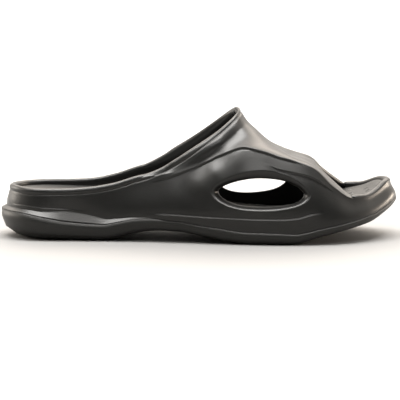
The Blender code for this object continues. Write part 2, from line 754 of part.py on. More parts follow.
def footbed_side(skin, side):
    along = rib_places()
    ends = recess_ends()
    inset = WALL * through(RECESS, RECESS_COLUMNS, "in_of_wall", along)
    low_edge = lift(outline(along, side, inset + FIT_GAP)[0], 0.0)
    top_edge = lift(outline(along, side, inset + 2.5 * FIT_GAP)[0], 0.0)
    def top_height(x, across):
        return footbed_height(x, across, ends, side)

    def bottom_height(x, across):
        return footbed_height(x, across, ends, side) - FOOTBED_THICKNESS
    bottom = to_spine(low_edge, ACROSS, bottom_height)
    top = to_spine(top_edge, ACROSS, top_height)
    skin.sheet(bottom[::-1] + top)


def make_footbed():
    skin = Skin("footbed")
    for side in SIDES:
        footbed_side(skin, side)
    return skin.finish((0.024, 0.024, 0.023), 0.60)


def main():
    for old in list(bpy.data.objects):
        bpy.data.objects.remove(old, do_unlink=True)
    make_sole()
    make_body()
    make_footbed()


main()
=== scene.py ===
"""Looks of the moulded pool slide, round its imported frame.

The frame's three nodes are the plain solids. Each is replaced here by the same form with
finer ribs and rows, and the finish of black moulded foam. The body also gets the collar's bead
and groove and two soft ridges, and the footbed gets its nubs.
All sizes are in metres, in the frame's own axes: +X to the toe, +Z up, outer side at -Y.
"""

import bmesh
import bpy
import numpy as np
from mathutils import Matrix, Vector


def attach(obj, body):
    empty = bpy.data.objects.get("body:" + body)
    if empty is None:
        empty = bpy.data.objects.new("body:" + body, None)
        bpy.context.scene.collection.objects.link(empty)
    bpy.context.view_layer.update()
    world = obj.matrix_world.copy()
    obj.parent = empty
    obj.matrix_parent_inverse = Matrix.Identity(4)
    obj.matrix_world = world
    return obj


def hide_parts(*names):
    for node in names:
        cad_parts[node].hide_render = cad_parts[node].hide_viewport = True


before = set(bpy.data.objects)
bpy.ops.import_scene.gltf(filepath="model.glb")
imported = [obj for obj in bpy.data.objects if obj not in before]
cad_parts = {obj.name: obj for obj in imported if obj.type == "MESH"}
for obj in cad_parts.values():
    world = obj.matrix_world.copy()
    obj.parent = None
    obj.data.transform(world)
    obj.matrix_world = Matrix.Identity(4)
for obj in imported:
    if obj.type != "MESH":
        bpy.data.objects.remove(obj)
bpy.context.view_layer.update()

# Camera: the photo's angle, from the outer side and a little above
CAMERA_AIM = (0.0008, 0.0, 0.0254)
CAMERA_DISTANCE = 1.0
CAMERA_ELEVATION = 6.7
CAMERA_YAW = 1.5
CAMERA_LENS = 122.5
CAMERA_SENSOR = 36.0


def make_camera():
    """Camera that looks at the shoe from the photo's side."""
    data = bpy.data.cameras.new("view")
    data.lens = CAMERA_LENS
    data.sensor_width = CAMERA_SENSOR
    camera = bpy.data.objects.new("view", data)
    bpy.context.collection.objects.link(camera)
    rise = np.radians(CAMERA_ELEVATION)
    turn = np.radians(CAMERA_YAW)
    way = Vector((np.cos(rise) * np.sin(turn), -np.cos(rise) * np.cos(turn), np.sin(rise)))
    camera.location = Vector(CAMERA_AIM) + way * CAMERA_DISTANCE
    camera.rotation_euler = way.to_track_quat("Z", "Y").to_euler()
    bpy.context.scene.camera = camera


make_camera()

# Driving sizes in metres
LENGTH = 0.290
BALL_WIDTH = 0.108
HEEL_WIDTH = 0.074
RIM_HEIGHT = 0.0375
INSTEP_HEIGHT = 0.0940
ARCH_GAP = 0.0075
TOE_SPRING = 0.0220
WALL = 0.0050
FOOTBED_THICKNESS = 0.0040
FIT_GAP = 0.0003
LEDGE_STEP = 0.0037
HOLE_HEIGHT = 0.0285
UPPER_LIP = 0.0062
LOWER_LIP = 0.0026
END_LIP = 0.0035
OUTER_DROP = 0.0032
TREAD_DEPTH = 0.0018
TREAD_WIDTH = 0.0040
TREAD_MARGIN = 0.0050
TREAD_SLOPE = 0.0006
CREASE_STEP = 0.0015

# Places along the shoe, as shares of LENGTH
HEEL_CAP = 0.13
TOE_CAP = 0.20
COLLAR_RIB = 0.36
FRONT_RIB = 0.89
HOLE_BACK = 0.529
HOLE_FRONT = 0.777
INNER_HOLE_FRONT = 0.735
TREAD_PITCH = 0.031
TREAD_FIELDS = ((0.085, 6), (0.565, 8))

# Plan outline, half widths
PLAN_COLUMNS = ("along", "of_heel", "of_ball_outer", "of_ball_inner", "centre_of_ball")
PLAN = (
    (0.00, 0.50, 0.000, 0.000, 0.000),
    (0.12, 0.50, 0.000, 0.000, 0.000),
    (0.25, 0.40, 0.070, 0.055, 0.000),
    (0.38, 0.25, 0.190, 0.125, 0.000),
    (0.50, 0.10, 0.350, 0.260, 0.000),
    (0.62, 0.00, 0.485, 0.420, 0.000),
    (0.72, 0.00, 0.500, 0.490, 0.000),
    (0.82, 0.00, 0.475, 0.505, 0.010),
    (0.92, 0.00, 0.430, 0.475, 0.030),
    (1.00, 0.00, 0.370, 0.440, 0.050),
)

# Tread sole: underside, height of its side above it, and the round of its lower edge
SOLE_COLUMNS = ("along", "of_arch", "of_spring", "side_of_rim", "round_in_of_rim")
SOLE = (
    (0.000, 0.00, 0.00, 0.540, 0.520),
    (0.060, 0.00, 0.00, 0.520, 0.380),
    (0.120, 0.00, 0.00, 0.440, 0.270),
    (0.180, 0.00, 0.00, 0.360, 0.210),
    (0.265, 0.00, 0.00, 0.310, 0.160),
    (0.305, 0.30, 0.00, 0.300, 0.140),
    (0.345, 0.72, 0.00, 0.275, 0.130),
    (0.405, 1.00, 0.00, 0.225, 0.120),
    (0.450, 0.97, 0.00, 0.200, 0.110),
    (0.510, 0.62, 0.00, 0.205, 0.110),
    (0.560, 0.28, 0.00, 0.225, 0.110),
    (0.630, 0.00, 0.00, 0.225, 0.110),
    (0.730, 0.00, 0.00, 0.200, 0.120),
    (0.800, 0.00, 0.22, 0.160, 0.140),
    (0.870, 0.00, 0.42, 0.145, 0.180),
    (0.930, 0.00, 0.60, 0.160, 0.230),
    (0.970, 0.00, 0.84, 0.155, 0.270),
    (1.000, 0.00, 1.03, 0.150, 0.300),
)

# Body wall: shelf above the tread sole, then the lines that run along the wall.
# The heights are shares of RIM_HEIGHT, shelf_in is a share of LEDGE_STEP and top_in of WALL.
WALL_COLUMNS = (
    "along", "shelf_rise", "shelf_in", "crease", "middle", "brow", "crest", "top", "top_in", "lean",
)
WALL_LINES = (
    (0.000, 0.050, 1.00, 0.660, 0.740, 0.800, 0.950, 0.950, 1.20, 0.08),
    (0.060, 0.055, 1.00, 0.650, 0.740, 0.800, 0.950, 0.950, 1.20, 0.08),
    (0.120, 0.100, 1.20, 0.610, 0.740, 0.800, 0.950, 0.950, 1.20, 0.08),
    (0.180, 0.185, 1.50, 0.585, 0.740, 0.810, 0.958, 0.958, 1.20, 0.10),
    (0.225, 0.165, 1.30, 0.550, 0.750, 0.830, 0.983, 0.983, 1.20, 0.12),
    (0.290, 0.080, 0.80, 0.530, 0.790, 0.930, 1.090, 1.090, 1.25, 0.16),
    (0.360, 0.025, 0.20, 0.530, 0.880, 1.080, 1.080, 1.275, 1.50, 0.24),
    (0.420, 0.010, 0.04, 0.520, 0.920, 1.080, 1.190, 1.360, 1.75, 0.34),
    (0.460, 0.010, 0.04, 0.510, 0.940, 1.110, 1.310, 1.410, 2.20, 0.44),
    (0.500, 0.010, 0.04, 0.495, 0.955, 1.200, 1.460, 1.500, 2.80, 0.56),
    (0.540, 0.010, 0.04, 0.485, 0.965, 1.330, 1.620, 1.630, 3.10, 0.62),
    (0.600, 0.010, 0.04, 0.480, 0.985, 1.500, 1.770, 1.770, 3.30, 0.64),
    (0.650, 0.010, 0.04, 0.470, 1.000, 1.500, 1.710, 1.710, 3.10, 0.62),
    (0.700, 0.010, 0.04, 0.470, 0.990, 1.380, 1.590, 1.590, 2.90, 0.60),
    (0.740, 0.010, 0.04, 0.490, 0.960, 1.320, 1.520, 1.520, 2.70, 0.56),
    (0.777, 0.010, 0.04, 0.560, 0.920, 1.250, 1.450, 1.450, 2.40, 0.50),
    (0.840, 0.010, 0.04, 0.600, 0.830, 0.950, 1.080, 1.080, 1.60, 0.34),
    (0.890, 0.010, 0.04, 0.600, 0.690, 0.730, 0.880, 0.880, 1.05, 0.15),
    (0.930, 0.010, 0.04, 0.640, 0.710, 0.750, 0.895, 0.895, 0.90, 0.10),
    (1.000, 0.020, 0.10, 0.680, 0.740, 0.800, 1.065, 1.065, 0.90, 0.06),
)

# Outer edge of the collar, toe and footbed: how far it lies below the inner one
OUTER_TOP_COLUMNS = ("along", "of_drop")
OUTER_TOP = (
    (0.00, 0.00),
    (0.01, 0.00),
    (0.08, 0.38),
    (0.22, 0.42),
    (0.30, 0.75),
    (0.36, 0.92),
    (0.46, 1.00),
    (0.56, 0.60),
    (0.66, 0.00),
    (0.78, 0.00),
    (0.85, 0.28),
    (0.89, 0.54),
    (0.93, 0.76),
    (0.96, 0.62),
    (0.995, 0.00),
    (1.00, 0.00),
)

# Strap: where each rib crosses the centre line, and how it sets off from the wall top.
# set_off is a share of the way from wall top to centre line. sag_out is how much lower
# the outer side hangs, as a share of OUTER_DROP.
STRAP_COLUMNS = (
    "along", "centre_along", "rise", "set_off_x", "set_off_up", "set_off_in", "flat", "sag_out",
)
STRAP = (
    (0.36, 0.603, 0.972, 0.40, 0.21, 0.14, 1.00, 1.20),
    (0.42, 0.608, 0.928, 0.44, 0.30, 0.13, 1.00, 1.10),
    (0.50, 0.622, 0.820, 0.36, 0.52, 0.14, 0.92, 0.80),
    (0.56, 0.645, 0.708, 0.25, 0.72, 0.14, 0.80, 0.50),
    (0.61, 0.666, 0.602, 0.15, 0.88, 0.14, 0.70, 0.25),
    (0.69, 0.698, 0.480, 0.05, 1.00, 0.14, 0.60, 0.00),
    (0.77, 0.732, 0.376, 0.02, 0.80, 0.15, 0.54, 0.00),
    (0.83, 0.760, 0.352, 0.10, 0.42, 0.16, 0.48, 0.00),
    (0.89, 0.784, 0.318, 0.26, 0.16, 0.20, 0.40, 0.00),
)

# Footbed: heights of its top along its own length, as shares of RIM_HEIGHT
FOOTBED_COLUMNS = ("along", "centre", "edge")
FOOTBED = (
    (0.00, 0.915, 0.915),
    (0.05, 0.820, 0.910),
    (0.12, 0.745, 0.895),
    (0.22, 0.700, 0.880),
    (0.32, 0.715, 0.890),
    (0.42, 0.730, 0.890),
    (0.52, 0.590, 0.690),
    (0.62, 0.450, 0.520),
    (0.72, 0.400, 0.450),
    (0.80, 0.450, 0.520),
    (0.88, 0.680, 0.760),
    (0.95, 0.860, 0.900),
    (1.00, 1.060, 1.060),
)

# Recess: how far the foot of the inner wall stands in from the outline, in walls
RECESS_COLUMNS = ("along", "in_of_wall")
RECESS = (
    (0.00, 2.40),
    (0.25, 2.30),
    (0.36, 2.15),
    (0.50, 1.85),
    (0.70, 1.80),
    (0.80, 1.90),
    (0.89, 2.15),
    (1.00, 2.05),
)

# Side holes: where each begins and ends, and its height as a share of HOLE_HEIGHT
HOLES = {"outer": (HOLE_BACK, HOLE_FRONT, 1.00), "inner": (HOLE_BACK, INNER_HOLE_FRONT, 0.88)}

# Creases of the moulding, each along one line of the wall. Depth is a share of CREASE_STEP.
# proud is -1 where the part below the line stands out, and 1 where the part above does.
CREASE_COLUMNS = ("along", "depth", "proud")
CREASES = {
    "crease": (
        (0.02, 0.0, -1),
        (0.06, 0.5, -1),
        (0.16, 0.5, -1),
        (0.24, 0.0, -1),
        (0.38, 0.0, -1),
        (0.43, 1.0, -1),
        (0.70, 1.0, -1),
        (0.77, 0.9, -1),
        (0.81, 0.0, -1),
    ),
    "crest": (
        (0.38, 0.0, 1),
        (0.44, 0.7, 1),
        (0.53, 0.9, 1),
        (0.60, 1.1, 1),
        (0.72, 1.1, 1),
        (0.78, 0.0, 1),
    ),
    "brow": ((0.66, 0.0, 1), (0.71, 0.8, 1), (0.76, 1.0, 1), (0.80, 0.8, 1), (0.84, 0.0, 1)),
}
CREASE_EDGE = 0.0003
CREASE_FADE = 0.0060

# Side holes: power of the round ends, and the share of the length over which the shift fades
HOLE_ROUND = 0.62
END_FADE = 0.025

# Lips inside the side holes: share of the inner wall's rise that they stay under, and the
# least opening between them, as a share of the inner wall's curve
LIP_CEILING = 0.8
LIP_OPENING = 0.01

# Handle of a quarter round, as a share of its radius
QUARTER_ROUND = 0.5523

# Shelf: how near to its two edges it has a row, as a share of its slope
SHELF_EDGE = 0.15

# Collar's corner: how far from it the strap's directions blend into the wall's
CORNER_REACH = 0.030

# Curves of the wall and of the sole's edge, as shares of their rise
FOOT_HANDLE = 0.40
TOP_HANDLE = 0.38
SOLE_ROUND = 0.72

# Footbed: power by which it rises towards its edge, and how far its top's edge stands off the
# recess's wall, in FIT_GAPs
FOOTBED_CUP = 2.5
FOOTBED_TOP_GAPS = 2.5

# Tread: shares of the half width that limit its two margin rows, and the least space between
# a rib and a groove's edge, as a share of the groove's slope
MARGIN_LIMIT = 0.3
NEAR_MARGIN_LIMIT = 0.4
RIB_SPACE = 0.25

# Small lengths and shares of the calculations, and the steps of a search
TURN_STEP = 1e-4
SHORTEST = 1e-12
HOLE_END = 1e-9
WELD = 2e-6
HALVINGS = 40

# Ribs: stretch from, stretch to, how many, and the end that they crowd towards
RIB_TURN = 0.57
RIB_STRETCHES = (
    (0.0, HEEL_CAP, 30, "start"),
    (HEEL_CAP, COLLAR_RIB, 46, "even"),
    (COLLAR_RIB, HOLE_BACK, 46, "start"),
    (HOLE_BACK, RIB_TURN, 14, "start"),
    (RIB_TURN, INNER_HOLE_FRONT, 36, "even"),
    (INNER_HOLE_FRONT, HOLE_FRONT, 14, "end"),
    (HOLE_FRONT, FRONT_RIB, 30, "end"),
    (FRONT_RIB, 1.0, 30, "end"),
)

# Rows of faces in each sheet
ROWS = {
    "foot": 14, "below_hole": 14, "above_hole": 14, "brow": 14, "roof": 56,
    "inner_low": 8, "inner_high": 12, "lip": 8, "rim": 8, "sole_round": 3,
}
SIDES = {"outer": -1.0, "inner": 1.0}
UP = np.array((0.0, 0.0, 1.0))

# Rows of the footbed and of its recess, from the edge to the centre line
ACROSS = (0.0, 0.3, 0.65, 1.0)


def through(table, columns, name, along):
    """Smooth curve through one column of a table, without overshoot."""
    rows = np.array(table)
    x = rows[:, 0]
    y = rows[:, columns.index(name)]
    step = np.diff(x)
    slope = np.diff(y) / step
    tangent = np.zeros(len(x))
    for i in range(1, len(x) - 1):
        if slope[i - 1] * slope[i] > 0.0:
            before = 2.0 * step[i] + step[i - 1]
            after = step[i] + 2.0 * step[i - 1]
            tangent[i] = (before + after) / (before / slope[i - 1] + after / slope[i])
    along = np.clip(np.asarray(along, dtype=float), x[0], x[-1])
    k = np.clip(np.searchsorted(x, along, side="right") - 1, 0, len(step) - 1)
    u = (along - x[k]) / step[k]
    value = (2 * u**3 - 3 * u**2 + 1) * y[k] + (3 * u**2 - 2 * u**3) * y[k + 1]
    value += (u**3 - 2 * u**2 + u) * step[k] * tangent[k] + (u**3 - u**2) * step[k] * tangent[k + 1]
    return value


def unit(vectors):
    return vectors / np.maximum(np.linalg.norm(vectors, axis=-1, keepdims=True), SHORTEST)


def bezier(p0, p1, p2, p3, t):
    """Points of cubic curves at t, one curve per rib."""
    t = np.asarray(t, dtype=float)[..., None]
    return (1 - t)**3 * p0 + 3 * (1 - t)**2 * t * p1 + 3 * (1 - t) * t**2 * p2 + t**3 * p3


def reach_height(p0, p1, p2, p3, height):
    """Share of each curve at which it reaches a height."""
    low = np.zeros(len(p0))
    high = np.ones(len(p0))
    for _ in range(HALVINGS):
        mid = 0.5 * (low + high)
        below = bezier(p0, p1, p2, p3, mid)[:, 2] < height
        low = np.where(below, mid, low)
        high = np.where(below, high, mid)
    return 0.5 * (low + high)


def rib_places():
    """Shares of the length at which the ribs stand."""
    places = [0.0]
    for start, end, count, crowd in RIB_STRETCHES:
        t = np.arange(1, count + 1) / count
        if crowd == "start":
            t = 1.0 - np.cos(0.5 * np.pi * t)
        if crowd == "end":
            t = np.sin(0.5 * np.pi * t)
        places.extend(start + (end - start) * t)
    return np.array(places)


def centre_line(along):
    """Y of the shoe's middle."""
    return BALL_WIDTH * through(PLAN, PLAN_COLUMNS, "centre_of_ball", along)


def half_width(along, side):
    """Width of one side of the outline, round at heel and toe."""
    heel = HEEL_WIDTH * through(PLAN, PLAN_COLUMNS, "of_heel", along)
    ball = BALL_WIDTH * through(PLAN, PLAN_COLUMNS, "of_ball_" + side, along)
    heel_cap = np.clip((HEEL_CAP - along) / HEEL_CAP, 0.0, 1.0)
    toe_cap = np.clip((along - 1.0 + TOE_CAP) / TOE_CAP, 0.0, 1.0)
    return (heel + ball) * np.sqrt(np.maximum(1.0 - heel_cap**2, 0.0) * np.maximum(1.0 - toe_cap**2, 0.0))


def outline(along, side, inset=0.0):
    """Plan points of the sole's outline, moved inwards by an inset, and their directions."""
    turn = np.clip(np.arccos(1.0 - 2.0 * along), TURN_STEP, np.pi - TURN_STEP)
    corners = []
    for angle in (turn - TURN_STEP, turn + TURN_STEP):
        share = 0.5 * (1.0 - np.cos(angle))
        width = half_width(share, side)
        corners.append(np.stack((LENGTH * share, centre_line(share) + SIDES[side] * width), axis=-1))
    tangent = unit(corners[1] - corners[0])
    outward = np.stack((-tangent[:, 1], tangent[:, 0]), axis=-1) * SIDES[side]
    outward[along <= 0.0] = (-1.0, 0.0)
    outward[along >= 1.0] = (1.0, 0.0)
    at_rib = np.stack((LENGTH * along, centre_line(along) + SIDES[side] * half_width(along, side)), axis=-1)
    return at_rib - outward * np.reshape(inset, (-1, 1)), outward


def lift(plan, height):
    """Plan points as points in space, at a height."""
    return np.column_stack((plan, np.broadcast_to(height, len(plan))))


def underside(along):
    """Height of the sole's lowest line, with the arch and the toe spring."""
    arch = ARCH_GAP * through(SOLE, SOLE_COLUMNS, "of_arch", along)
    return arch + TOE_SPRING * through(SOLE, SOLE_COLUMNS, "of_spring", along)


def joint_height(along):
    """Top edge of the tread sole."""
    return underside(along) + RIM_HEIGHT * through(SOLE, SOLE_COLUMNS, "side_of_rim", along)


def hole_half(along, side):
    """Half height of the side hole at each rib, nothing outside the hole."""
    back, front, share = HOLES[side]
    middle = 0.5 * (back + front)
    reach = 0.5 * (front - back)
    u = np.clip(np.abs(along - middle) / reach, 0.0, 1.0)
    half = 0.5 * HOLE_HEIGHT * share * (1.0 - u**2)**HOLE_ROUND
    return np.where(u >= 1.0 - HOLE_END, 0.0, half)


def end_shift(along, side):
    """How far the hole's inner edge moves along the shoe, towards the hole's middle."""
    back, front, _ = HOLES[side]
    middle = 0.5 * (back + front)
    reach = 0.5 * (front - back)
    u = np.abs(along - middle) / reach
    beyond = (u - 1.0) * reach / END_FADE
    amount = np.where(u < 1.0, u**3, np.clip(1.0 - beyond, 0.0, 1.0))
    return END_LIP * amount * np.sign(middle - along)


def outer_drop(along, side):
    """How far the outer side of the collar and of the toe lies below the inner side."""
    if side == "inner":
        return np.zeros(np.shape(along))
    return OUTER_DROP * through(OUTER_TOP, OUTER_TOP_COLUMNS, "of_drop", along)


def footbed_height(x, across, ends, side):
    """Top of the footbed. across is 0 on the centre line and 1 at the edge."""
    along = (x - ends[0]) / (ends[1] - ends[0])
    centre = RIM_HEIGHT * through(FOOTBED, FOOTBED_COLUMNS, "centre", along)
    edge = RIM_HEIGHT * through(FOOTBED, FOOTBED_COLUMNS, "edge", along) - outer_drop(along, side)
    return centre + (edge - centre) * across**FOOTBED_CUP


def wall_line(name, along):
    """Height of one of the named lines of the wall."""
    return RIM_HEIGHT * through(WALL_LINES, WALL_COLUMNS, name, along)


def wall_curve(along, side):
    """Outer wall of the body, from the shelf over the tread sole to the wall's top."""
    def line(name):
        return through(WALL_LINES, WALL_COLUMNS, name, along)
    foot, outward = outline(along, side, LEDGE_STEP * line("shelf_in"))
    p0 = lift(foot, joint_height(along) + FIT_GAP + RIM_HEIGHT * line("shelf_rise"))
    head, _ = outline(along, side, WALL * line("top_in"))
    p3 = lift(head, wall_line("top", along) - outer_drop(along, side))
    rise = (p3 - p0)[:, 2:]
    inward = np.column_stack((-outward, np.zeros(len(along))))
    towards = unit(UP + inward * line("lean")[:, None])
    return p0, p0 + UP * FOOT_HANDLE * rise, p3 - towards * TOP_HANDLE * rise, p3


def strap_curve(along, side, wall_top):
    """Roof of the strap, from the wall's top to the centre line."""
    def line(name):
        return through(STRAP, STRAP_COLUMNS, name, along)
    cross = line("centre_along")
    top = RIM_HEIGHT + (INSTEP_HEIGHT - RIM_HEIGHT) * line("rise")
    p3 = np.column_stack((LENGTH * cross, centre_line(cross), top))
    way = p3 - wall_top
    set_off = np.column_stack((line("set_off_x"), line("set_off_in"), line("set_off_up"))) * way
    across = np.column_stack((np.zeros(len(along)), way[:, 1] * line("flat"), np.zeros(len(along))))
    if side == "outer":
        sag = UP * OUTER_DROP * line("sag_out")[:, None]
        set_off = set_off - sag
        across = across + sag
    return wall_top, wall_top + set_off, p3 - across, p3


def normals(grid, sign):
    """Outward directions of a grid of rows."""
    up_way = np.gradient(grid, axis=0)
    along_way = np.gradient(grid, axis=1)
    return unit(np.cross(up_way, along_way) * sign)


def crease_relief(along, height):
    """How far the wall stands out at a place for the creases of the moulding."""
    amount = np.zeros(np.broadcast(along, height).shape)
    for name, table in CREASES.items():
        depth = CREASE_STEP * through(table, CREASE_COLUMNS, "depth", along)
        over = (height - wall_line(name, along)) * table[0][2]
        sharp = np.clip(over / CREASE_EDGE, -1.0, 1.0)
        amount = amount + 0.5 * depth * sharp * np.exp(-np.abs(over) / CREASE_FADE)
    return amount


def raise_creases(rows, along, side):
    """Wall rows moved out for the creases, the bead and the ridges, on the middle plane at its ends."""
    grid = np.stack(rows)
    out = normals(grid, SIDES[side])
    out[:, 0] = unit(out[:, 0] * (1.0, 0.0, 1.0))
    out[:, -1] = unit(out[:, -1] * (1.0, 0.0, 1.0))
    amount = crease_relief(along[None, :], grid[:, :, 2]) + soft_relief(grid, side)
    return list(grid + out * amount[:, :, None])


class Skin:
    """Points and faces of one closed piece, gathered sheet by sheet."""

    def __init__(self, name):
        self.name = name
        self.points = []
        self.faces = []

    def sheet(self, rows):
        """Adds rows of points, with faces between each two rows."""
        count = len(rows[0])
        start = len(self.points)
        for row in rows:
            self.points.extend(tuple(point) for point in row)
        for r in range(len(rows) - 1):
            for i in range(count - 1):
                a = start + r * count + i
                self.faces.append((a, a + 1, a + 1 + count, a + count))

    def finish(self, material):
        """Makes the piece, welded and centred along the shoe."""
        shift = np.array((0.5 * LENGTH, 0.0, 0.0))
        mesh = bpy.data.meshes.new(self.name)
        mesh.from_pydata([tuple(np.array(p) - shift) for p in self.points], [], self.faces)
        shape = bmesh.new()
        shape.from_mesh(mesh)
        bmesh.ops.remove_doubles(shape, verts=shape.verts, dist=WELD)
        bmesh.ops.dissolve_degenerate(shape, edges=shape.edges, dist=WELD)
        bmesh.ops.recalc_face_normals(shape, faces=shape.faces)
        if shape.calc_volume(signed=True) < 0.0:
            bmesh.ops.reverse_faces(shape, faces=shape.faces)
        shape.to_mesh(mesh)
        shape.free()
        mesh.shade_smooth()
        mesh.materials.append(material)
        piece = bpy.data.objects.new(self.name, mesh)
        bpy.context.collection.objects.link(piece)
        return piece


# Rolled bead round the collar, with a thin groove under it
BEAD_HEIGHT = 0.00012
BEAD_WIDTH = 0.0014
GROOVE_DEPTH = 0.00045
GROOVE_PLACE = 0.0020
GROOVE_WIDTH = 0.0007

# Points along the collar's edge: over the strap, and for each rib of the wall. Distances to
# them are taken for so many points at once.
STRAP_POINTS = 200
POINTS_PER_RIB = 6
POINTS_AT_ONCE = 4000


def rim_points(side):
    """Points close together along the outer edge of the collar."""
    along = rib_places()
    wall_top = wall_curve(along, side)[-1]
    at = np.array([int(np.argmin(np.abs(along - COLLAR_RIB)))])
    q0, q1, q2, q3 = strap_curve(along[at], side, wall_top[at])
    places = np.linspace(0.0, 1.0, STRAP_POINTS)
    over = np.concatenate([bezier(q0, q1, q2, q3, np.array([t])) for t in places])
    wall = wall_top[:at[0] + 1]
    steps = np.linspace(0.0, len(wall) - 1.0, POINTS_PER_RIB * len(wall))
    fine = np.column_stack([np.interp(steps, np.arange(len(wall)), wall[:, axis]) for axis in range(3)])
    return np.concatenate((over, fine))


# Soft ridges of the side walls: two ends as x from the heel and z, width, height.
# The first lies behind the hole, the second over the crest.
RIDGES = (
    ((0.149, 0.0405), (0.157, 0.0475), 0.0080, 0.0018),
    ((0.128, 0.0575), (0.160, 0.0690), 0.0050, 0.0013),
)


def ridge_relief(points):
    """How far each point stands out for the soft ridges."""
    amount = np.zeros(len(points))
    spots = points[:, (0, 2)]
    for start, end, width, height in RIDGES:
        start = np.array(start)
        way = np.array(end) - start
        share = np.clip((spots - start) @ way / (way @ way), 0.0, 1.0)
        off = np.linalg.norm(spots - start - share[:, None] * way, axis=1)
        amount += height * np.exp(-(off / width)**2)
    return amount


def bead_relief(points, side):
    """How far each point stands out for the bead and the groove of the collar."""
    rim = rim_points(side)
    off = np.empty(len(points))
    for start in range(0, len(points), POINTS_AT_ONCE):
        part = points[start:start + POINTS_AT_ONCE]
        gaps = np.linalg.norm(part[:, None, :] - rim[None, :, :], axis=2)
        off[start:start + POINTS_AT_ONCE] = gaps.min(axis=1)
    bead = BEAD_HEIGHT * np.exp(-(off / BEAD_WIDTH)**2)
    groove = GROOVE_DEPTH * np.exp(-((off - GROOVE_PLACE) / GROOVE_WIDTH)**2)
    return bead - groove


def soft_relief(grid, side):
    """How far each point of a grid stands out for the bead, the groove and the ridges."""
    points = grid.reshape(-1, 3)
    return (bead_relief(points, side) + ridge_relief(points)).reshape(grid.shape[:2])


def between(first, last, count):
    """Even steps from first to last, both ends included."""
    return [first + (last - first) * k / count for k in range(count + 1)]


def to_spine(edge_row, shares, height=None):
    """Rows from an edge row to the centre line. height gives each row's own height."""
    places = rib_places()
    spine = edge_row.copy()
    spine[:, 0] = edge_row[0, 0] + (edge_row[-1, 0] - edge_row[0, 0]) * places
    spine[:, 1] = centre_line(spine[:, 0] / LENGTH)
    rows = []
    for share in shares:
        row = edge_row + (spine - edge_row) * share
        if height is not None:
            row[:, 2] = height(row[:, 0], 1.0 - share)
        rows.append(row)
    return rows


def recess_foot(along, side):
    """Plan points at the foot of the inner wall."""
    inset = WALL * through(RECESS, RECESS_COLUMNS, "in_of_wall", along)
    return outline(along, side, inset)[0]


def recess_ends():
    """X of the recess's back and front."""
    return recess_foot(np.array((0.0, 1.0)), "outer")[:, 0]


def roof_directions(grid, sign):
    """Outward directions of the strap, upright across its centre line."""
    out = normals(grid, sign)
    up_way = np.gradient(grid, axis=0)[-1] * (0.0, 1.0, 0.0)
    out[-1] = unit(np.cross(up_way, np.gradient(grid, axis=1)[-1])) * sign
    out[-1, :, 1] = 0.0
    return unit(out)


def raise_roof(roof, along, side):
    """Rows of the strap moved out for the creases, the bead and the ridges."""
    grid = np.stack(roof)
    amount = crease_relief(along[None, :], grid[:, :, 2])
    amount[-1] = 0.0
    amount = amount + soft_relief(grid, side)
    return list(grid + roof_directions(grid, SIDES[side]) * amount[:, :, None])


def rounded_lip(outer_edge, inner_edge, outward):
    """Quarter round from the outer face of the wall to the inner edge of its hole."""
    way = inner_edge - outer_edge
    depth = np.sum(way * outward, axis=1, keepdims=True) * outward
    p1 = outer_edge + QUARTER_ROUND * (way - depth)
    p2 = inner_edge - QUARTER_ROUND * depth
    every = np.ones(len(outer_edge))
    shares = between(0.0, 1.0, ROWS["lip"])
    return [bezier(outer_edge, p1, p2, inner_edge, share * every) for share in shares]


